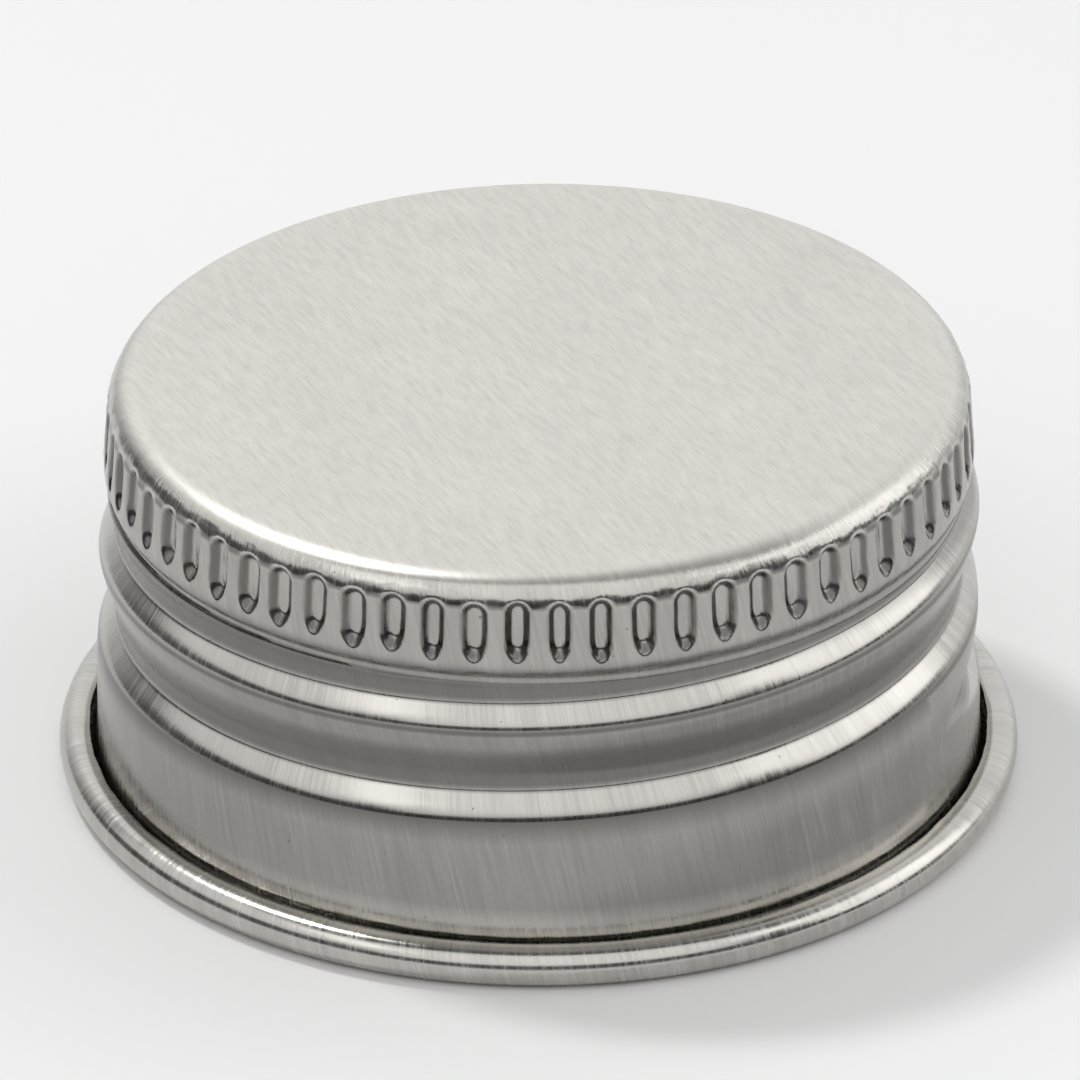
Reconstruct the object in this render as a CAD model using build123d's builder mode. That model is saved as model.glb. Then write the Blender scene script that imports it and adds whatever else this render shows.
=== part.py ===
from build123d import *
from math import atan, ceil, cos, degrees, radians, sin, tan
import os

# A drawn and rolled aluminium screw cap, standing open side down on its curled rim.
# Millimetres, +Z up, origin on the axis at the plane that the curl stands on.
# The front of the cap is its -Y side. The right-hand thread climbs anticlockwise seen from above.

os.makedirs("parts", exist_ok=True)

# Sheet and overall form
cap_height = 19.0           # standing plane to the flat top
sheet = 0.25                # wall of the drawn shell
skirt_radius = 19.4         # outside of the plain skirt and of the thread's crests
corner_radius = 1.6         # outside of the rounded edge between top and side

# Knurl: upright dents pressed into a band under the rounded edge
knurl_step = 0.5            # from the skirt's outside in to the knurl's, between the dents
knurl_foot = 14.25          # height at which the band turns in
dent_count = 66
dent_low = 14.75            # lower end of a dent
dent_width = 1.15           # at its mouth
dent_depth = 0.42
dent_draft = 24             # degrees that a dent's sides lean out

# Neck: the narrow recess between the knurl and the thread
neck_depth = 0.48           # from the knurl's outside in to its bottom
neck_height = 13.8
neck_foot = 12.83           # height at which it runs out into the thread's crests

# Thread: one groove rolled in from outside, which stands as a ridge inside
thread_pitch = 4.233        # six turns to the inch
groove_depth = 0.9
groove_floor = 0.78         # height of the flat at its bottom
slope_height = 0.87         # short side, which faces up
crest_lap = 0.06            # how far the long side, which faces down, runs past the next turn's short side
groove_start = 2.0          # degrees from +X to where the groove reaches its full depth
start_height = 5.28         # lower edge of the groove's floor, at that angle
run_out = 30.0              # degrees over which the groove fades out at its lower end
fade_climb = 1.0            # how far that end stands above the thread's own line
neck_lap = 0.2              # how far the groove's upper end climbs past the neck's bottom
longest_stretch = 240.0     # degrees of the groove that one cutter takes at most

# Curl: the rim, rolled outward
curl_radius = 0.9           # outside of the tube
curl_reach = 1.68           # from the skirt's outside out to the rim's largest radius
curl_end = 120.0            # degrees above the horizontal at which the raw edge stops

# A round bend is drawn in flats, which keeps the model light
tube_flat = 42.0            # degrees of each flat outside the curl
hollow_flat = 70.0          # degrees of each flat inside it
lead_flat = 45.0            # degrees of each flat where the skirt turns into the curl
corner_flat = 30.0          # degrees of each flat outside the top's rounded edge
inner_flat = 45.0           # degrees that the flat inside that edge turns from the top's underside

# Liner: a foam disc pushed up against the underside of the top, above the ledge that holds it
liner_thickness = 0.9
liner_side_gap = 0.15       # to the shell's side and rounded edge
liner_seat_gap = 0.05       # to the ledge below it

# How far the cutting shapes stand past the faces that they cut
over = 0.5

knurl_radius = skirt_radius - knurl_step
neck_radius = knurl_radius - neck_depth
corner_centre = (knurl_radius - corner_radius, cap_height - corner_radius)

skirt_inner = skirt_radius - sheet
knurl_inner = knurl_radius - sheet
neck_inner = neck_radius - sheet

liner_top = cap_height - sheet
liner_bottom = liner_top - liner_thickness
ledge_height = liner_bottom - liner_seat_gap
underside_radius = corner_centre[0] + (corner_radius - sheet) * tan(radians(inner_flat / 2))
dent_high = ledge_height - sheet

thread_rise = thread_pitch / 360
flank_height = thread_pitch - groove_floor - slope_height + crest_lap
groove_sweep = (neck_height + neck_lap - start_height) / thread_rise
stretch_count = ceil(groove_sweep / longest_stretch)
stretch_length = groove_sweep / stretch_count
groove_radius = skirt_radius - groove_depth

curl_centre = skirt_radius + curl_reach - curl_radius
lead_radius = curl_centre - skirt_inner
curl_foot = lead_radius * (1 - tan(radians(lead_flat / 2)))


def around(radius, angle, height):
    """The point at a radius, an angle in degrees from +X and a height."""
    return Vector(radius * cos(radians(angle)), radius * sin(radians(angle)), height)


def groove_height(angle):
    """Height of the lower edge of the groove's floor at an angle in degrees."""
    return start_height + thread_rise * (angle - groove_start)


def bend(centre, radius, start, turn, flat):
    """Corners of the flats that lie round an arc, from start through turn, all in degrees."""
    count = round(abs(turn) / flat)
    part = turn / count
    reach = radius / cos(radians(part) / 2)
    angles = [radians(start + part * (i + 0.5)) for i in range(count)]
    return [(centre[0] + reach * cos(a), centre[1] + reach * sin(a)) for a in angles]


def chords(centre, radius, start, turn, flat):
    """Corners of the flats that lie within an arc, from start through turn, all in degrees."""
    count = round(abs(turn) / flat)
    angles = [radians(start + turn * i / count) for i in range(count + 1)]
    return [(centre[0] + radius * cos(a), centre[1] + radius * sin(a)) for a in angles]


def groove_section(inset, angle, height):
    """The groove's section in the upright plane at an angle, its floor and sides grown by inset."""
    slope_lean = atan(groove_depth / slope_height) / 2
    flank_lean = atan(groove_depth / flank_height) / 2
    reach = (groove_depth + over) / groove_depth
    low = (-inset, -inset * tan(slope_lean))
    high = (-inset, groove_floor + inset * tan(flank_lean))
    top = (groove_depth * reach - inset, groove_floor + flank_height * reach)
    foot = (groove_depth * reach - inset, -slope_height * reach)
    plane = Plane(
        origin=around(groove_radius, angle, height),
        x_dir=around(1, angle, 0),
        z_dir=around(1, angle - 90, 0),
    )
    with BuildSketch(plane) as section:
        with BuildLine():
            Polyline(foot, low, high, top, foot)
        make_face()
    return section.sketch


def groove_stretch(inset, start, length):
    """The cutter for one stretch of the thread groove at full depth, both in degrees."""
    with BuildPart() as stretch:
        with BuildLine() as helix:
            Helix(thread_pitch, thread_rise * length, groove_radius)
        sweep(groove_section(inset, 0, 0), path=helix.line, is_frenet=True)
    return stretch.part.rotate(Axis.Z, start).translate((0, 0, groove_height(start)))


def groove_fade(inset):
    """The cutter for the groove's lower end, which runs out of the wall."""
    end = groove_start - run_out
    first = around(groove_radius, groove_start, start_height)
    last = around(skirt_radius + over / 2, end, groove_height(end) + fade_climb)
    heading = around(groove_radius, groove_start - 90, -degrees(thread_rise))
    with BuildPart() as fade:
        with BuildLine() as route:
            Spline(first, last, tangents=(heading, last - first))
        sweep(groove_section(inset, groove_start, start_height), path=route.line)
    return fade.part


def threaded_body(inset):
    """The cap's filled form from the curl to the neck with its thread, its surface set in by inset."""
    with BuildPart() as body:
        with BuildSketch(Plane.XZ):
            with BuildLine():
                Polyline(
                    (0, curl_foot),
                    (0, neck_height),
                    (neck_radius - inset, neck_height),
                    (skirt_radius - inset, neck_foot),
                    (skirt_radius - inset, curl_foot),
                    (0, curl_foot),
                )
            make_face()
        revolve(axis=Axis.Z)
        for i in range(stretch_count):
            start = groove_start + stretch_length * i
            add(groove_stretch(inset, start, stretch_length), mode=Mode.SUBTRACT)
        add(groove_fade(inset), mode=Mode.SUBTRACT)
    return body.part


def knurled_head():
    """The cap's filled form from the neck to the top, with the knurl's dents."""
    floor = knurl_radius - dent_depth
    mouth = knurl_radius + over
    lean = tan(radians(dent_draft))
    near = dent_width / 2 - dent_depth * lean
    far = dent_width / 2 + over * lean
    with BuildPart() as head:
        with BuildSketch(Plane.XZ):
            with BuildLine():
                Polyline(
                    (0, neck_height),
                    (0, cap_height),
                    *bend(corner_centre, corner_radius, 90, -90, corner_flat),
                    (knurl_radius, knurl_foot),
                    (neck_radius, neck_height),
                    (0, neck_height),
                )
            make_face()
        revolve(axis=Axis.Z)
        with BuildSketch(Plane.XY.offset(dent_low)):
            with PolarLocations(0, dent_count):
                Polygon((floor, near), (floor, -near), (mouth, -far), (mouth, far), align=None)
        extrude(amount=dent_high - dent_low, mode=Mode.SUBTRACT)
    return head.part


def head_hollow():
    """The space inside the head. The dents run together there as one band, level with the neck."""
    with BuildPart() as hollow:
        with BuildSketch(Plane.XZ):
            with BuildLine():
                Polyline(
                    (0, neck_height),
                    (0, liner_top),
                    (underside_radius, liner_top),
                    (knurl_inner, ledge_height),
                    (neck_inner, ledge_height),
                    (neck_inner, neck_height),
                    (0, neck_height),
                )
            make_face()
        revolve(axis=Axis.Z)
    return hollow.part


def curl_section():
    """Section of the rolled rim, from the foot of the skirt round to its raw edge."""
    lead = (curl_centre, lead_radius)
    tube = (curl_centre, curl_radius)
    raw_edge = around(curl_radius, curl_end, 0)
    with BuildSketch(Plane.XZ) as section:
        with BuildLine():
            corners = [
                *bend(lead, lead_radius, 180, 90, lead_flat),
                *bend(tube, curl_radius, -90, curl_end + 90, tube_flat),
                (tube[0] + raw_edge.X, tube[1] + raw_edge.Y),
                *chords(tube, curl_radius - sheet, curl_end, -90 - curl_end, hollow_flat),
                (skirt_radius, lead_radius),
            ]
            Polyline(*corners, corners[0])
        make_face()
    return section.sketch


with BuildPart() as cap_shell:
    add(threaded_body(0))
    add(knurled_head())
    add(threaded_body(sheet), mode=Mode.SUBTRACT)
    add(head_hollow(), mode=Mode.SUBTRACT)
    revolve(curl_section(), axis=Axis.Z)
cap_shell.part.label = "cap_shell"
export_step(cap_shell.part, "parts/cap_shell.step")

with BuildPart() as liner:
    with BuildSketch(Plane.XZ):
        with BuildLine():
            Polyline(
                (0, liner_bottom),
                (0, liner_top),
                (underside_radius - liner_side_gap, liner_top),
                (knurl_inner - liner_side_gap, liner_bottom),
                (0, liner_bottom),
            )
        make_face()
    revolve(axis=Axis.Z)
liner.part.label = "liner"
export_step(liner.part, "parts/liner.step")
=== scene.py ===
import bpy
import math
import random
import numpy as np
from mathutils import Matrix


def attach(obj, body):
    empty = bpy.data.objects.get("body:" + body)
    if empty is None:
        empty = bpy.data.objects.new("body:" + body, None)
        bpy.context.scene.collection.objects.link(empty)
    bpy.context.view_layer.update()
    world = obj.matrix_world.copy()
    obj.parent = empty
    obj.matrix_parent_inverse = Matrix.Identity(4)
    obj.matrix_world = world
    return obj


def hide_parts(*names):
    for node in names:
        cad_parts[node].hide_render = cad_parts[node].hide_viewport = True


# A drawn and rolled aluminium bottle cap, open side down.
# Sizes are in millimetres and turned into metres by mm.
# Angles round the cap are in degrees from +X, anticlockwise from above.
# The front of the cap is its -Y side.

mm = 0.001

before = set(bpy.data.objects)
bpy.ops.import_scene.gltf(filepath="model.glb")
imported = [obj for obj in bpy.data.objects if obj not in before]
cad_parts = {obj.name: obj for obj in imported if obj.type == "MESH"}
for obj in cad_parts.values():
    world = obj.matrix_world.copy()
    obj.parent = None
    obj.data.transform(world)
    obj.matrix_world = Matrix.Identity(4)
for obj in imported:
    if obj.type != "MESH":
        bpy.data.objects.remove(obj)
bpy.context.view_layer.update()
print("frame loaded:", sorted(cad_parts))


# Camera

cameraView = dict(
    place=(0, -420.90, 240.92),
    tilt=28.71,              # degrees below level
    lens=366.7,
    shift=1.46 / 1080,       # puts the cap's axis a little left of the middle, as in the photo
)


def makeCamera(view):
    data = bpy.data.cameras.new("photoCamera")
    data.lens = view["lens"]
    data.shift_x = view["shift"]
    data.clip_start = 0.01
    camera = bpy.data.objects.new("photoCamera", data)
    camera.location = [p * mm for p in view["place"]]
    camera.rotation_euler = (math.radians(90 - view["tilt"]), 0, 0)
    bpy.context.scene.collection.objects.link(camera)
    bpy.context.scene.camera = camera


makeCamera(cameraView)


# Shader helpers

class Wire:
    # one socket; arithmetic on it adds Math nodes

    def __init__(self, graph, socket):
        self.graph = graph
        self.socket = socket

    def maths(self, operation, first, second=0.0):
        return self.graph.add("ShaderNodeMath", dict(operation=operation), {0: first, 1: second})

    def __add__(self, other):
        return self.maths("ADD", self, other)

    def __sub__(self, other):
        return self.maths("SUBTRACT", self, other)

    def __mul__(self, other):
        return self.maths("MULTIPLY", self, other)

    def __rtruediv__(self, other):
        return self.maths("DIVIDE", other, self)

    def root(self):
        return self.maths("SQRT", self)

    def ramp(self, low, high):
        # 0 at low, 1 at high, smooth between, and the other way round where high is the smaller
        settings = dict(interpolation_type="SMOOTHSTEP")
        return self.graph.add("ShaderNodeMapRange", settings, {0: self, 1: low, 2: high})


class Graph:
    # the node tree of a material or of the world

    def __init__(self, owner):
        owner.use_nodes = True
        self.tree = owner.node_tree
        self.tree.nodes.clear()

    def add(self, kind, settings=None, values=None, out=0):
        node = self.tree.nodes.new(kind)
        for name, value in (settings or {}).items():
            setattr(node, name, value)
        for key, value in (values or {}).items():
            if isinstance(value, Wire):
                self.tree.links.new(value.socket, node.inputs[key])
            else:
                node.inputs[key].default_value = value
        return Wire(self, node.outputs[out]) if node.outputs else node

    def position(self):
        # place on the object, in millimetres
        place = self.add("ShaderNodeTexCoord", out=3)
        return self.add("ShaderNodeVectorMath", dict(operation="SCALE"), {0: place, "Scale": 1 / mm})

    def split(self, vector):
        node = self.add("ShaderNodeSeparateXYZ", None, {0: vector}).socket.node
        return [Wire(self, socket) for socket in node.outputs]

    def stretch(self, vector, scale):
        return self.add("ShaderNodeVectorMath", dict(operation="MULTIPLY"), {0: vector, 1: scale})

    def turn(self, vector, angle):
        # about the cap's axis, by a number or a wire, in radians
        settings = dict(rotation_type="Z_AXIS")
        return self.add("ShaderNodeVectorRotate", settings, {"Vector": vector, "Angle": angle})

    def noise(self, vector, scale=1.0, detail=2.0, rough=0.5):
        values = {"Vector": vector, "Scale": scale, "Detail": detail, "Roughness": rough}
        return self.add("ShaderNodeTexNoise", None, values)

    def colours(self, factor, first, second):
        return self.add("ShaderNodeMix", dict(data_type="RGBA"), {0: factor, 6: first, 7: second}, out=2)

    def bump(self, height, depth, under=None):
        # depth is the height of a full step, in millimetres
        values = {"Height": height, "Distance": depth * mm, "Strength": 1.0}
        if under:
            values["Normal"] = under
        return self.add("ShaderNodeBump", None, values)

    def metal(self, values):
        return self.add("ShaderNodeBsdfPrincipled", None, dict(values, Metallic=1.0))

    def finish(self, shader, kind="ShaderNodeOutputMaterial"):
        self.add(kind, None, {0: shader})


def grey(level, warm=0.0):
    # a nearly neutral colour, a little yellow where warm is above 0
    return (level, level * (1 - 0.5 * warm), level * (1 - 1.5 * warm), 1)


# Aluminium

outerLook = dict(
    topColour=0.675,
    sideColour=0.53,
    hairColour=0.34,         # dark scratches on the flat top
    speckColour=0.12,
    paintedShadeColour=0.10,         # painted shade and painted reflection, where the shell's hollow attribute is 1
    warm=0.06,
    topRough=0.36,
    sideRough=0.23,
    anisotropy=0.45,
    grainTurn=-63.0,         # degrees from +X of the brushed grain on the flat top
    wrapRadius=19.4,         # the streaks are laid on a cylinder of this radius
    streakLean=0.011,        # radians that the streaks turn about the axis in a millimetre of height
    # how fine each noise is along the three axes
    fineGrain=(1.3, 10.0, 0.5),
    coarseGrain=(0.75, 4.2, 0.5),
    streakGrain=(7.0, 7.0, 0.30),
    wideGrain=(0.9, 0.9, 0.12),
    peelGrain=(5.0, 5.0, 2.4),
    markGrain=(8.0, 8.0, 1.1),
    # depth of the relief that they make
    grainDepth=0.0022,
    streakDepth=0.0036,
    peelDepth=0.022,
    markDepth=0.012,
    # heights between which the relief sets in
    footPeel=(14.0, 14.8),
    edgePeel=(17.5, 18.1),
    edgeMarks=(17.7, 18.2),
    # radii between which the side takes over from the top
    sideRadii=(17.9, 18.45),
)


def aluminiumOutside(look):
    material = bpy.data.materials.new("drawnAluminium")
    g = Graph(material)
    place = g.position()
    x, y, z = g.split(place)
    radius = (x * x + y * y).root()

    # flat top: short linear scratches of one direction, in two lengths
    along = g.turn(place, -math.radians(look["grainTurn"]))
    fine = g.noise(g.stretch(along, look["fineGrain"]), detail=3.0, rough=0.6)
    coarse = g.noise(g.stretch(along, look["coarseGrain"]), detail=2.0)
    cloud = g.noise(place, scale=0.12, detail=2.0)
    darkHair = fine.ramp(0.60, 0.74) * coarse.ramp(0.42, 0.62)
    grain = (fine - 0.5) * 0.6 + (coarse - 0.5) * 0.5 + (cloud - 0.5) * 0.2
    light = grey(look["topColour"] * 1.12, look["warm"])
    topTone = g.colours(grain * 2.2 + 0.5, grey(look["topColour"] * 0.87, look["warm"]), light)
    topTone = g.colours(darkHair * 0.42, topTone, grey(look["hairColour"]))
    topRough = grain * 0.10 + look["topRough"]
    topBump = g.bump(fine * 0.7 + coarse * 0.3, look["grainDepth"])
    top = g.metal({
        "Base Color": topTone,
        "Roughness": topRough,
        "Normal": topBump,
    })

    # side: upright drawing streaks that lean a little, soft clouds and small dark specks
    outward = look["wrapRadius"] / radius
    wrapped = g.add("ShaderNodeCombineXYZ", None, {0: x * outward, 1: y * outward, 2: z})
    leaned = g.turn(wrapped, z * look["streakLean"])
    streak = g.noise(g.stretch(leaned, look["streakGrain"]), detail=2.0, rough=0.55)
    wide = g.noise(g.stretch(leaned, look["wideGrain"]), detail=2.0)
    speck = g.noise(place, scale=3.1, detail=1.0).ramp(0.77, 0.82)
    tone = (streak - 0.5) * 1.1 + (wide - 0.5) * 0.7 + 0.5
    light = grey(look["sideColour"] * 1.24, look["warm"])
    sideTone = g.colours(tone, grey(look["sideColour"] * 0.76, look["warm"]), light)
    sideTone = g.colours(speck * 0.7, sideTone, grey(look["speckColour"]))
    # painted shade and painted reflection: the hollow attribute darkens the side's colour in the dents,
    # under the knurl, in the neck and groove, under the crests and on the skirt
    hollow = g.add("ShaderNodeAttribute", dict(attribute_name="hollow"), out=2)
    sideTone = g.colours(hollow, sideTone, grey(look["paintedShadeColour"], look["warm"]))
    sideRough = (streak - 0.5) * 0.34 + (wide - 0.5) * 0.10 + look["sideRough"]
    peel = g.noise(g.stretch(leaned, look["peelGrain"]), detail=2.0)
    pressed = z.ramp(*look["footPeel"]) * 0.35 + z.ramp(*look["edgePeel"]) * 0.65
    sideBump = g.bump(streak, look["streakDepth"])
    sideBump = g.bump(peel * pressed, look["peelDepth"], sideBump)
    marks = g.noise(g.stretch(leaned, look["markGrain"]), detail=3.0, rough=0.65)
    sideBump = g.bump(marks * z.ramp(*look["edgeMarks"]), look["markDepth"], sideBump)
    side = g.metal({
        "Base Color": sideTone,
        "Roughness": sideRough,
        "Anisotropic": look["anisotropy"],
        "Normal": sideBump,
    })

    onSide = radius.ramp(*look["sideRadii"])
    g.finish(g.add("ShaderNodeMixShader", None, {0: onSide, 1: top, 2: side}))
    return material


insideLook = dict(
    colour=0.60,
    warm=0.02,
    rough=0.34,
    anisotropy=0.3,
    ringGrain=(0.35, 0.35, 7.0),
    ringDepth=0.003,
)


def aluminiumInside(look):
    material = bpy.data.materials.new("insideAluminium")
    g = Graph(material)
    place = g.position()
    ring = g.noise(g.stretch(place, look["ringGrain"]), detail=3.0)
    cloud = g.noise(place, scale=0.5, detail=3.0)
    light = grey(look["colour"] * 1.2, look["warm"])
    tone = g.colours(ring * 0.5 + cloud * 0.5, grey(look["colour"] * 0.75, look["warm"]), light)
    shader = g.metal({
        "Base Color": tone,
        "Roughness": (ring - 0.5) * 0.15 + look["rough"],
        "Anisotropic": look["anisotropy"],
        "Normal": g.bump(ring, look["ringDepth"]),
    })
    g.finish(shader)
    return material


outsideMetal = aluminiumOutside(outerLook)
insideMetal = aluminiumInside(insideLook)
print("metals made")


# Shell

shellSize = dict(
    height=19.0,
    sheet=0.25,
    skirt=19.4,              # radius of the plain skirt and of the thread's crests
    cornerCentre=(17.33, 17.6),
    cornerRadius=1.4,
    wallFoot=18.95,          # the knurled wall leans out to this radius at its foot
    footHeight=14.98,
    land=18.5,               # radius of the neck
    neckTop=14.42,
    neckLow=13.62,
    neckFoot=12.83,          # height at which the neck's slope reaches the skirt's radius
    neckTopRound=0.34,       # how widely each bend of the neck is rounded
    neckLowRound=0.07,
    neckFootRound=0.25,
    meetRound=0.05,          # where the groove's upper end meets the neck
    flare=0.05,              # how far the skirt widens towards the curl
    flareTop=2.2,
    flareHeight=0.5,
    inset=0.02,              # the inner face lies this much deeper than the sheet is thick
    insideLimit=18.9,        # largest radius that the inside follows the knurled wall to
    dentInside=0.9,          # share of a dent's depth that shows inside
    headTurn=38.0,           # the head was rolled on a little askew, and stands highest at this angle
    headTilt=0.34,           # how far its edge there stands above its middle
    headFrom=13.3,           # heights between which the tilt sets in
    headFull=14.9,
    footShade=0.45,          # painted shadow under the knurl, from 0 to 1
    # painted reflection, darker, in the neck
    neckShade=0.42,
    wedgeShade=0.8,          # painted shade between the upper ends of the dents
    wedgeHeight=17.95,
)

threadSize = dict(
    pitch=4.233,
    depth=0.9,
    floor=0.78,              # height of the flat at the groove's bottom
    slope=0.87,              # height of the short side, which faces up
    flank=2.57,              # height of the long side, which faces down
    start=2.0,               # angle at which the groove is at full depth
    startHeight=5.28,
    turns=3,                 # enough to pass the neck
    runOut=30.0,             # degrees over which it fades in
    tipWidth=0.25,           # width of the groove at its tip, as a share of its full width
    middle=0.95,             # height in the groove that its tip closes on
    crestRound=0.40,         # how widely each bend of the groove is rounded
    slopeRound=0.07,
    floorRound=0.16,
    shade=0.78,              # painted shade and painted reflection on the floor and the long side, from 0 to 1
    plainShade=0.48,         # painted reflection, darker, on the skirt and wherever else the short side is not
    crestShade=0.85,         # painted shade just under the crests
)

dentSize = dict(
    count=66,
    low=15.28,
    high=18.16,
    mouth=0.66,              # half the width at the mouth
    floor=0.20,              # half the width of the flat floor
    lowerEnd=0.85,           # height over which the lower end closes
    wallShade=0.86,          # painted shade on the dents' sides, from 0 to 1
    plainShade=0.32,         # painted reflection, darker, on the wall between the dents
    plainTop=17.6,           # height at which that shade starts to fade out
    probe=(0.35, 0.06),      # degrees and millimetres to each side between which steepness is felt
    endWeight=2.2,           # how much more the ends count than the sides
    steepFrom=0.05,
    steepRange=0.20,
    depth=0.42,
    narrow=0.32,             # how much narrower the lower end is
    narrowFrom=1.3,          # height above the lower end at which that starts
    narrowHeight=1.4,
    bulge=0.012,             # metal pushed out under each dent
    bulgeHeight=15.06,
    bulgeWide=0.5,
    bulgeTall=0.22,
)

curlSize = dict(
    centre=(20.18, 0.9),
    radius=0.9,
    lead=1.03,               # outer radius of the bend between skirt and curl
    end=120.0,               # angle above level at which the raw edge stops
    stray=0.03,              # how far the raw edge strays, and how much its middle stands in
)

gridSize = dict(
    columns=198,             # three to a dent
    fineColumns=1188,        # eighteen to a dent, in the knurled band
    seam=-16,                # column at which the rings start, so that the groove's tip is past the seam
    kneeTop=18.44,
    kneeLow=14.62,
    kneeStep=0.1,
    threadTop=13.72,
    threadLow=2.1,
    topGap=0.02,             # least distance of a thread row from the ring above it
    plainRows=5,             # steps between the lowest ring and the first thread row
    rowSteps=[(-1.1, -0.62, 0.06), (-0.62, -0.14, 0.08), (-0.14, 0.14, 0.035), (0.14, 0.56, 0.14),
              (0.56, 1.04, 0.08), (1.04, 2.78, 0.145), (2.78, 3.133, 0.06)],
    topRings=(6.0, 12.0, 15.5),
    cornerLead=0.25,         # the last level ring is this far inside the rounded edge
    cornerSteps=11,
    footRows=(14.54, 14.46, 14.3, 14.1, 13.9),
    skirtRows=(1.95, 1.8, 1.65, 1.4),
    leadSteps=8,
    hollowSteps=12,
    tubeSteps=22,
    insideThin=2.2,          # how much further apart the thread's rows are inside
    insideRows=(14.2, 14.6, 14.9, 15.15, 15.4, 15.7, 16.1, 16.6, 17.2, 17.6, 17.85, 18.02),
    insideFine=14.7,         # above this height the inside has twice the columns
    insideAngles=(35, 60, 90),
    insideMiddle=9.0,
)

dice = random.Random(7)
dents = [
    dict(
        shift=dice.uniform(-0.06, 0.06),
        low=dice.uniform(-0.12, 0.14),
        high=dice.uniform(-0.08, 0.06),
        wide=dice.uniform(0.86, 1.06),
        depth=dice.uniform(0.80, 1.06),
    )
    for _ in range(dentSize["count"])
]


def knee(x, width):
    # 0 below, x above, with the corner rounded over width
    return 0.5 * (x + np.sqrt(x * x + width * width))


def smooth(x):
    x = np.clip(x, 0, 1)
    return x * x * (3 - 2 * x)


def smaller(a, b, width):
    return 0.5 * (a + b + width - np.sqrt((a - b) ** 2 + width * width))


def wobble(angle, z):
    # the sheet is never quite round
    a = np.radians(angle)
    return 0.010 * np.sin(3 * a + 0.7) + 0.006 * np.sin(7 * a + 0.5 * z) + 0.004 * np.sin(13 * a - 0.8 * z)


def grooveDepth(angle, z):
    # depth of the rolled groove, for angles from the seam on
    t = threadSize
    total = np.zeros(np.broadcast(angle, z).shape)
    for turn in range(t["turns"]):
        along = angle + 360 * turn
        fade = smooth((along - t["start"] + t["runOut"]) / t["runOut"])
        width = t["tipWidth"] + (1 - t["tipWidth"]) * fade
        s = z - t["startHeight"] - t["pitch"] * (along - t["start"]) / 360
        s = (s - t["middle"]) / width + t["middle"]
        up = t["depth"] / t["slope"]
        down = t["depth"] / t["flank"]
        rise = knee(s + t["slope"], t["crestRound"]) - knee(s, t["slopeRound"])
        fall = knee(s - t["floor"], t["floorRound"]) - knee(s - t["floor"] - t["flank"], t["crestRound"])
        total += fade * (up * rise - down * fall)
    return total


def threadRadius(angle, z):
    s = shellSize
    neckDrop = (s["skirt"] - s["land"]) / (s["neckLow"] - s["neckFoot"])
    foot = knee(z - s["neckFoot"], s["neckFootRound"])
    low = knee(z - s["neckLow"], s["neckLowRound"])
    neck = s["skirt"] - neckDrop * (foot - low)
    groove = s["skirt"] - grooveDepth(angle, z)
    flare = s["flare"] * smooth((s["flareTop"] - z) / s["flareHeight"])
    return smaller(neck, groove, s["meetRound"]) + flare + wobble(angle, z)


def dentDepth(angle, z):
    d = dentSize
    step = 360 / d["count"]
    index = np.round(angle / step).astype(int)
    pick = index % d["count"]
    shift, low, high, wide, deep = (
        np.array([dent[name] for dent in dents])[pick] for name in ("shift", "low", "high", "wide", "depth")
    )
    arc = np.radians(angle - index * step) * shellSize["wallFoot"] - shift
    bottom = d["low"] + low
    top = d["high"] + high - d["mouth"]
    narrow = 1 - d["narrow"] * smooth((bottom + d["narrowFrom"] - z) / d["narrowHeight"])
    across = np.abs(arc) / (wide * narrow)
    above = np.maximum(z - top, 0)
    below = np.maximum(bottom + d["lowerEnd"] - z, 0) * d["mouth"] / d["lowerEnd"]
    reach = np.hypot(across, above + below)
    hole = d["depth"] * deep * (1 - smooth((reach - d["floor"]) / (d["mouth"] - d["floor"])))
    rise = z - d["bulgeHeight"] - low * 0.5
    bulge = d["bulge"] * np.exp(-(arc / d["bulgeWide"]) ** 2 - (rise / d["bulgeTall"]) ** 2)
    return hole - bulge


def dentWall(angle, z):
    # 1 on the steep sides of the dents, 0 on their floors and outside them
    d = dentSize
    turn, rise = d["probe"]
    across = np.abs(dentDepth(angle + turn, z) - dentDepth(angle - turn, z))
    along = np.abs(dentDepth(angle, z + rise) - dentDepth(angle, z - rise))
    steep = np.hypot(across, along * d["endWeight"])
    return smooth((steep - d["steepFrom"]) / d["steepRange"])


def wallShade(angle, z):
    # painted shade and painted reflection on the dents' sides, between their upper ends, on the wall
    # between them, under the knurl and in the neck
    # each part fades over the number that its height is divided by
    s = shellSize
    d = dentSize
    foot = s["footShade"] * np.exp(-((z - s["footHeight"] + 0.25) / 0.3) ** 2)
    neck = s["neckShade"] * smooth((z - s["neckFoot"]) / 0.5) * (1 - smooth((z - s["neckTop"]) / 0.4))
    step = 360 / d["count"]
    between = np.abs(angle / step - np.round(angle / step)) * 2
    wedge = s["wedgeShade"] * smooth((between - 0.35) / 0.4) * np.exp(-((z - s["wedgeHeight"]) / 0.2) ** 2)
    wall = d["wallShade"] * dentWall(angle, z)
    plain = d["plainShade"] * smooth((z - s["neckTop"]) / 0.4) * (1 - smooth((z - d["plainTop"]) / 0.5))
    return np.maximum(np.maximum(wall, wedge), foot + np.maximum(neck, plain))


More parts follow.
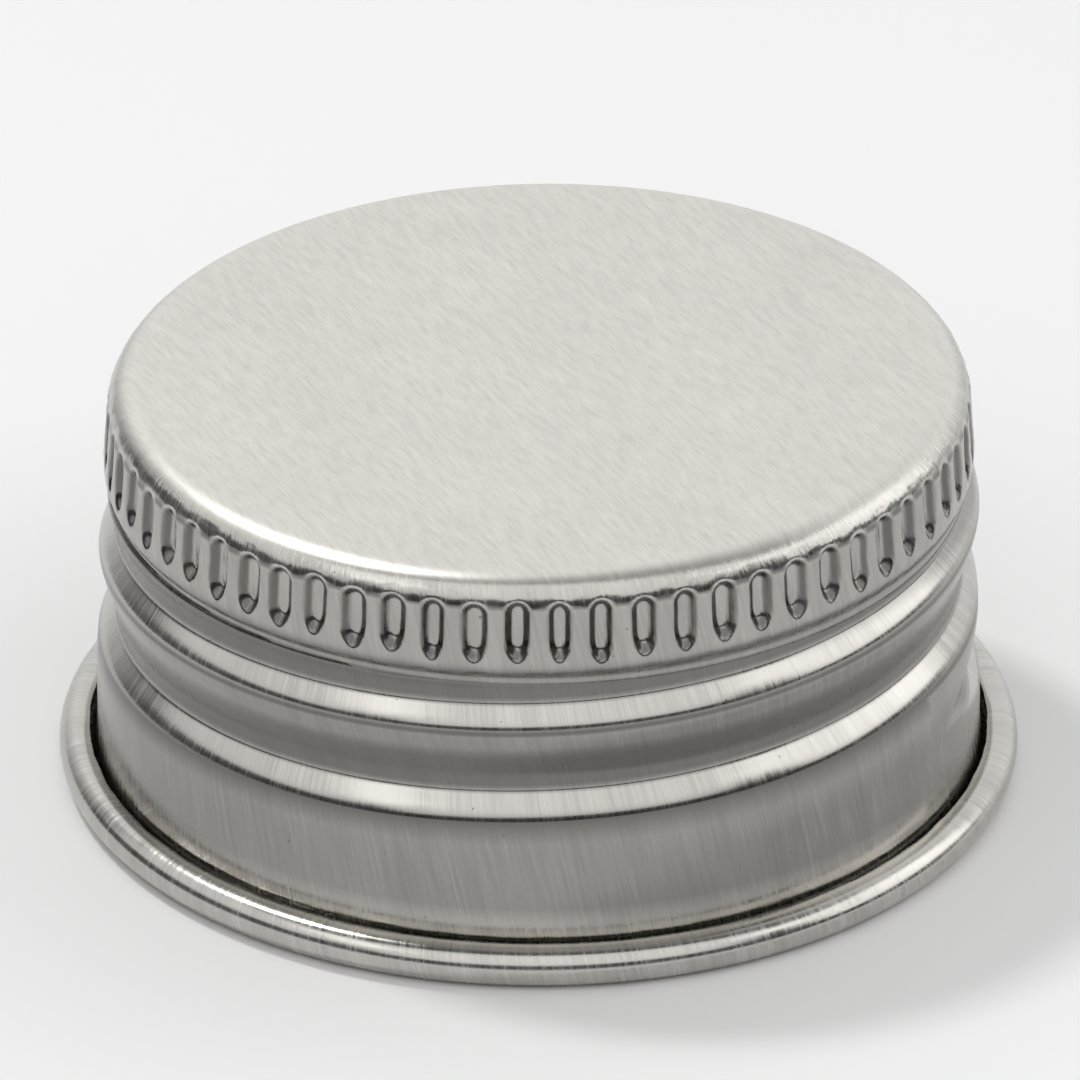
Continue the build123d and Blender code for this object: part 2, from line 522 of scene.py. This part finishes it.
def grooveShade(angle, z):
    # painted shade and painted reflection on the groove's floor and long side, under its crests and on the
    # plain skirt
    # s is the height above the start of the floor, within one turn
    t = threadSize
    s = np.mod(z - t["startHeight"] - t["pitch"] * (angle - t["start"]) / 360, t["pitch"])
    onSide = smooth(s / 0.2) * (1 - smooth((s - 1.6) / 1.75))
    depth = grooveDepth(angle, z)
    onSlope = smooth((s - 3.2) / 0.25) * (1 - smooth((s - 4.1) / 0.13)) * smooth(depth / 0.15)
    crest = t["crestShade"] * np.exp(-((s - 3.14) / 0.24) ** 2) * smooth((depth - 0.02) / 0.1)
    inside = t["shade"] * onSide * smooth(depth / 0.3)
    return np.maximum(np.maximum(inside, crest), t["plainShade"] * (1 - onSlope))


def threadShade(angle, z):
    # painted shade and painted reflection, the stronger of the groove's and the head's
    return np.maximum(grooveShade(angle, z), wallShade(angle, z))


def headRadius(angle, z):
    s = shellSize
    cx, cz = s["cornerCentre"]
    lean = (s["wallFoot"] - cx - s["cornerRadius"]) / (cz - s["footHeight"])
    rise = np.clip(z - cz, 0, s["cornerRadius"])
    wall = cx + np.sqrt(s["cornerRadius"] ** 2 - rise ** 2) + lean * np.clip(cz - z, 0, None)
    drop = (s["wallFoot"] - s["land"]) / (s["footHeight"] - s["neckTop"])
    width = s["neckTopRound"]
    foot = drop * (knee(s["footHeight"] - z, width) - knee(s["neckTop"] - z, width))
    return wall - foot


def dimples(angle, z):
    # the pressed band is a little uneven
    a = np.radians(angle)
    return 0.012 * np.sin(41 * a + 2.1 * z) * np.sin(3.3 * z + 5 * a) + 0.008 * np.sin(97 * a - 3.0 * z)


def knurlRadius(angle, z):
    return headRadius(angle, z) - dentDepth(angle, z) + wobble(angle, z) + dimples(angle, z)


def insideRadius(angle, z):
    # the inside of the head, with the backs of the dents
    s = shellSize
    wall = np.minimum(headRadius(angle, z), s["insideLimit"])
    return wall - s["sheet"] - s["inset"] - s["dentInside"] * dentDepth(angle, z)


class Skin:
    # a closed mesh made of rings from the middle of the top, down outside, round the curl and up inside

    def __init__(self):
        self.points = []
        self.faces = []
        self.inside = []
        self.hollow = []
        self.onInside = False

    def point(self, angle, radius, z, hollow=0.0):
        s = shellSize
        a = math.radians(angle)
        onHead = float(smooth((z - s["headFrom"]) / (s["headFull"] - s["headFrom"])))
        towards = radius / s["skirt"] * math.cos(a - math.radians(s["headTurn"]))
        z += onHead * s["headTilt"] * (towards - 1)
        self.points.append((radius * math.cos(a) * mm, radius * math.sin(a) * mm, z * mm))
        self.hollow.append(hollow)
        return len(self.points) - 1

    def face(self, *corners):
        self.faces.append(corners)
        self.inside.append(self.onInside)

    def angles(self, columns):
        g = gridSize
        return (g["seam"] / g["columns"] + np.arange(columns) / columns) * 360

    def ring(self, radius, z, columns=None, hollow=None):
        # radius and z are numbers, or functions of the angles; hollow, a function of the angles, gives the
        # painted shade
        angles = self.angles(columns or gridSize["columns"])
        rs = radius(angles) if callable(radius) else np.full(len(angles), radius)
        zs = z(angles) if callable(z) else np.full(len(angles), z)
        dark = hollow(angles) if hollow else np.zeros(len(angles))
        return [self.point(a, r, h, d) for a, r, h, d in zip(angles, rs, zs, dark)]

    def bridge(self, first, second):
        # quads between rings of one size, fans where one ring is finer
        if len(first) == len(second):
            for i in range(len(first)):
                j = (i + 1) % len(first)
                self.face(first[i], second[i], second[j], first[j])
            return
        few, many = (first, second) if len(first) < len(second) else (second, first)
        flip = few is second
        ratio = len(many) // len(few)
        for i in range(len(few)):
            j = (i + 1) % len(few)
            run = [many[(i * ratio + k) % len(many)] for k in range(ratio + 1)]
            half = ratio // 2
            fans = [(few[i], run[k], run[k + 1]) for k in range(half)]
            fans += [(few[i], run[half], few[j])]
            fans += [(few[j], run[k], run[k + 1]) for k in range(half, ratio)]
            for fan in fans:
                self.face(*(reversed(fan) if flip else fan))

    def chain(self, rings):
        for first, second in zip(rings, rings[1:]):
            self.bridge(first, second)

    def cover(self, ring, z, up):
        middle = self.point(0, 0, z)
        for i in range(len(ring)):
            j = (i + 1) % len(ring)
            self.face(*((middle, ring[i], ring[j]) if up else (middle, ring[j], ring[i])))

    def zipper(self, left, right, heights, flip):
        # triangles between two columns of points, both from high to low
        i = j = 0
        while i < len(left) - 1 or j < len(right) - 1:
            stepLeft = j == len(right) - 1 or (
                i < len(left) - 1 and heights[left[i + 1]] >= heights[right[j + 1]]
            )
            if stepLeft:
                corners = (left[i], left[i + 1], right[j])
                i += 1
            else:
                corners = (left[i], right[j + 1], right[j])
                j += 1
            self.face(*(reversed(corners) if flip else corners))


def rowPattern(thin):
    # heights of the rows over one turn, closer together at the groove's bends
    rows = []
    for low, high, step in gridSize["rowSteps"]:
        count = max(1, round((high - low) / (step * thin)))
        rows += [low + (high - low) * i / count for i in range(count)]
    return rows


def threadWall(skin, topRing, lowRing, radiusAt, shadeAt, thin, flip):
    # rows follow the thread, so that its creases stay clean; the two rings close it
    g = gridSize
    t = threadSize
    angles = skin.angles(g["columns"])
    pattern = rowPattern(thin)
    low = skin.points[lowRing[0]][2] / mm
    columns = []
    for index, angle in enumerate(angles):
        base = t["startHeight"] + t["pitch"] * (angle - t["start"]) / 360
        rows = [base + t["pitch"] * turn + s for turn in range(t["turns"]) for s in pattern]
        rows = [z for z in rows if z < g["threadTop"] - g["topGap"]]
        plain = [low + (rows[0] - low) * k / g["plainRows"] for k in range(1, g["plainRows"])]
        heights = np.array(plain + rows)[::-1]
        radii = radiusAt(angle, heights)
        shades = shadeAt(angle, heights)
        points = [skin.point(angle, r, z, shade) for r, z, shade in zip(radii, heights, shades)]
        columns.append([topRing[index]] + points + [lowRing[index]])
    heights = [p[2] for p in skin.points]
    for index, left in enumerate(columns):
        skin.zipper(left, columns[(index + 1) % len(columns)], heights, flip)


def arcRings(skin, centre, radius, start, end, count, ragged=0.0):
    # rings round the tube; ragged is how far the raw edge strays
    rings = []
    for i in range(count + 1):
        a = math.radians(start + (end - start) * i / count)

        def out(angles, a=a):
            return centre[0] + (radius + wrinkle(angles, a)) * math.cos(a) + ragged * edgeNoise(angles)

        def up(angles, a=a):
            return centre[1] + (radius + wrinkle(angles, a)) * math.sin(a) + ragged * edgeNoise(angles + 90)

        rings.append(skin.ring(out, up))
    return rings


def edgeNoise(angles):
    a = np.radians(angles)
    return 0.4 * np.sin(31 * a) + 0.35 * np.sin(53 * a + 1.3) + 0.25 * np.sin(89 * a + 0.4)


def wrinkle(angles, round_):
    # slanting folds in the curl at the right, where it was rolled tightest
    near = (np.mod(angles + 180, 360) - 180 - 14) / 11
    lower = max(0.0, math.cos(round_ - math.radians(60)))
    return -0.030 * lower * np.exp(-near ** 2) * (1 + np.sin(np.radians(angles) * 190 + 2.2 * round_)) / 2


def makeShell():
    s = shellSize
    c = curlSize
    g = gridSize
    skin = Skin()
    cx, cz = s["cornerCentre"]

    # top and rounded edge
    rings = [skin.ring(r, s["height"]) for r in (*g["topRings"], cx - g["cornerLead"])]
    skin.cover(rings[0], s["height"], True)
    kneeAngle = math.degrees(math.asin((g["kneeTop"] - cz) / s["cornerRadius"]))
    for i in range(g["cornerSteps"]):
        a = math.radians(90 + (kneeAngle - 90) * i / g["cornerSteps"])
        rings.append(skin.ring(cx + s["cornerRadius"] * math.cos(a), cz + s["cornerRadius"] * math.sin(a)))

    # knurled band
    count = round((g["kneeTop"] - g["kneeLow"]) / g["kneeStep"])
    for i in range(count + 1):
        z = g["kneeTop"] + (g["kneeLow"] - g["kneeTop"]) * i / count
        rings.append(skin.ring(
            lambda angles, z=z: knurlRadius(angles, z), z, g["fineColumns"],
            lambda angles, z=z: wallShade(angles, z),
        ))
    for z in g["footRows"]:
        rings.append(skin.ring(
            lambda angles, z=z: headRadius(angles, z) + wobble(angles, z), z, None,
            lambda angles, z=z: wallShade(angles, z),
        ))
    topRing = skin.ring(
        lambda angles: threadRadius(angles, g["threadTop"]), g["threadTop"], None,
        lambda angles: threadShade(angles, g["threadTop"]),
    )
    rings.append(topRing)
    skin.chain(rings)

    # thread and skirt, then the curl
    lowRing = skin.ring(lambda angles: threadRadius(angles, g["threadLow"]), g["threadLow"])
    threadWall(skin, topRing, lowRing, threadRadius, threadShade, 1.0, False)
    lead = (c["centre"][0], c["lead"])
    bend = c["lead"] - s["sheet"]
    hollow = c["radius"] - s["sheet"]
    edge = c["end"]
    stray = c["stray"]
    rings = [lowRing]
    rings += [skin.ring(lambda angles, z=z: threadRadius(angles, z), z) for z in g["skirtRows"]]
    rings += arcRings(skin, lead, bend, 180, 270, g["leadSteps"])
    rings += arcRings(skin, c["centre"], hollow, -90, edge, g["hollowSteps"])[1:-1]
    # rings close together keep the raw edge sharp
    rings += arcRings(skin, c["centre"], hollow, edge - 2, edge, 1, stray)
    rings += arcRings(skin, c["centre"], c["radius"] - stray, edge + 1, edge + 1, 1, stray)[:1]
    rings += arcRings(skin, c["centre"], c["radius"], edge, edge - 3, 1, stray)
    rings += arcRings(skin, c["centre"], c["radius"], edge - 12, -90, g["tubeSteps"])
    rings += arcRings(skin, lead, c["lead"], 270, 180, g["leadSteps"])[1:]
    skin.chain(rings)

    # inside
    skin.onInside = True
    lowInside = skin.ring(s["skirt"] - s["sheet"], g["threadLow"])
    skin.chain([rings[-1], lowInside])
    insideTop = skin.ring(s["land"] - s["sheet"] - s["inset"], g["threadTop"])
    threadWall(
        skin, insideTop, lowInside, lambda angle, z: threadRadius(angle, z) - s["sheet"] - s["inset"],
        lambda angle, z: np.zeros(len(z)), g["insideThin"], True,
    )
    rings = [insideTop]
    for z in g["insideRows"]:
        columns = g["columns"] * (2 if z > g["insideFine"] else 1)
        rings.append(skin.ring(lambda angles, z=z: insideRadius(angles, z), z, columns))
    inner = s["cornerRadius"] - s["sheet"]
    for angle in g["insideAngles"]:
        a = math.radians(angle)
        rings.append(skin.ring(cx + inner * math.cos(a), cz + inner * math.sin(a)))
    rings.append(skin.ring(g["insideMiddle"], s["height"] - s["sheet"]))
    skin.chain(rings)
    skin.cover(rings[-1], s["height"] - s["sheet"], False)
    return skin


def addPiece(name, points, faces, materials):
    mesh = bpy.data.meshes.new(name)
    mesh.from_pydata(points, [], [list(face) for face in faces])
    mesh.validate()
    mesh.shade_smooth()
    for material in materials:
        mesh.materials.append(material)
    piece = bpy.data.objects.new(name, mesh)
    bpy.context.scene.collection.objects.link(piece)
    return piece


skin = makeShell()
shell = addPiece("drawn_shell", skin.points, skin.faces, [outsideMetal, insideMetal])
for polygon, inner in zip(shell.data.polygons, skin.inside):
    polygon.material_index = int(inner)
# the hollow attribute carries painted shade and painted reflection, from 0 to 1
shell.data.attributes.new("hollow", "FLOAT", "POINT").data.foreach_set("value", skin.hollow)
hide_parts("cap_shell")
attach(shell, "root")
print("shell made, triangles:", sum(len(p.vertices) - 2 for p in shell.data.polygons))


# Liner
# a foam disc pushed up into the head, so it stands as much askew as the head does

linerSize = dict(
    profile=[(6.0, 18.74), (12.0, 18.74), (17.28, 18.735), (17.68, 18.62), (17.93, 18.42), (18.02, 18.2),
             (17.98, 17.97), (17.84, 17.87), (17.5, 17.85), (12.0, 17.85), (6.0, 17.85)],
    top=18.74,
    bottom=17.85,
)


def makeLiner(size):
    skin = Skin()
    rings = [skin.ring(radius, z) for radius, z in size["profile"]]
    skin.cover(rings[0], size["top"], True)
    skin.chain(rings)
    skin.cover(rings[-1], size["bottom"], False)
    return skin


foamLook = dict(colour=(0.80, 0.80, 0.77, 1), shade=(0.66, 0.66, 0.63, 1), rough=0.62)


def linerFoam(look):
    material = bpy.data.materials.new("linerFoam")
    g = Graph(material)
    place = g.position()
    cells = g.add("ShaderNodeTexVoronoi", None, {"Vector": place, "Scale": 4.5})
    cloud = g.noise(place, scale=0.4, detail=3.0)
    shader = g.add("ShaderNodeBsdfPrincipled", None, {
        "Base Color": g.colours(cells * 0.5 + cloud * 0.5, look["colour"], look["shade"]),
        "Roughness": (cloud - 0.5) * 0.1 + look["rough"],
        "Normal": g.bump(cells, 0.02),
    })
    g.finish(shader)
    return material


foam = makeLiner(linerSize)
liner = addPiece("foam_liner", foam.points, foam.faces, [linerFoam(foamLook)])
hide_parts("liner")
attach(liner, "root")
print("liner made, triangles:", sum(len(p.vertices) - 2 for p in liner.data.polygons))


# Floor, world and lamps

studio = dict(
    floorRadius=600,
    floorColour=(0.86, 0.86, 0.86, 1),
    # each lamp: direction it stands in (degrees from the front towards the right, degrees up), distance,
    # width and height in millimetres, and the brightness of its surface
    lamps=dict(
        frontAbove=dict(azimuth=4, up=50, away=500, size=(860, 520), bright=1.0),
        left=dict(azimuth=-84, up=40, away=520, size=(640, 340), bright=0.85),
        right=dict(azimuth=92, up=32, away=520, size=(480, 340), bright=1.42),
        key=dict(azimuth=-128, up=62, away=620, size=(80, 80), bright=58),
    ),
    dark=0.10,                       # the world's light at its darkest and brightest
    bright=0.98,
    brightSide=(0.22, 0.93, 0.30),   # direction in which it is brightest
    brightFrom=(0.30, 0.90),         # how near to that direction it starts to rise and is full
)


def makeFloor(radius, colour):
    material = bpy.data.materials.new("paleFloor")
    g = Graph(material)
    tone = g.noise(g.position(), scale=0.02)
    shader = g.add("ShaderNodeBsdfPrincipled", None, {
        "Base Color": g.colours(tone, colour, tuple(c * 0.985 for c in colour[:3]) + (1,)),
        "Roughness": 0.9,
        "Specular IOR Level": 0.0,
    })
    g.finish(shader)
    corners = 96
    turns = [2 * math.pi * i / corners for i in range(corners)]
    ring = [(radius * mm * math.cos(turn), radius * mm * math.sin(turn), 0) for turn in turns]
    floor = addPiece("floor", ring, [tuple(range(corners))], [material])


def direction(azimuth, up):
    a, e = math.radians(azimuth), math.radians(up)
    return (math.sin(a) * math.cos(e), -math.cos(a) * math.cos(e), math.sin(e))


def makeLamp(name, azimuth, up, away, size, bright):
    data = bpy.data.lights.new(name, "AREA")
    data.shape = "RECTANGLE"
    data.size, data.size_y = size[0] * mm, size[1] * mm
    data.energy = bright * math.pi * data.size * data.size_y
    lamp = bpy.data.objects.new(name, data)
    lamp.location = [d * away * mm for d in direction(azimuth, up)]
    lamp.rotation_euler = (math.radians(90 - up), 0, math.radians(azimuth))
    bpy.context.scene.collection.objects.link(lamp)


def makeWorld(studio):
    world = bpy.data.worlds.new("studio")
    bpy.context.scene.world = world
    g = Graph(world)
    way = g.add("ShaderNodeTexCoord", out=0)
    settings = dict(operation="DOT_PRODUCT")
    towards = g.add("ShaderNodeVectorMath", settings, {0: way, 1: studio["brightSide"]}, out=1)
    level = towards.ramp(*studio["brightFrom"]) * (studio["bright"] - studio["dark"]) + studio["dark"]
    shader = g.add("ShaderNodeBackground", None, {"Color": (1, 1, 1, 1), "Strength": level})
    g.finish(shader, "ShaderNodeOutputWorld")


makeFloor(studio["floorRadius"], studio["floorColour"])
for name, lamp in studio["lamps"].items():
    makeLamp(name, **lamp)
makeWorld(studio)
bpy.context.scene.view_settings.view_transform = "Standard"
print("studio made")
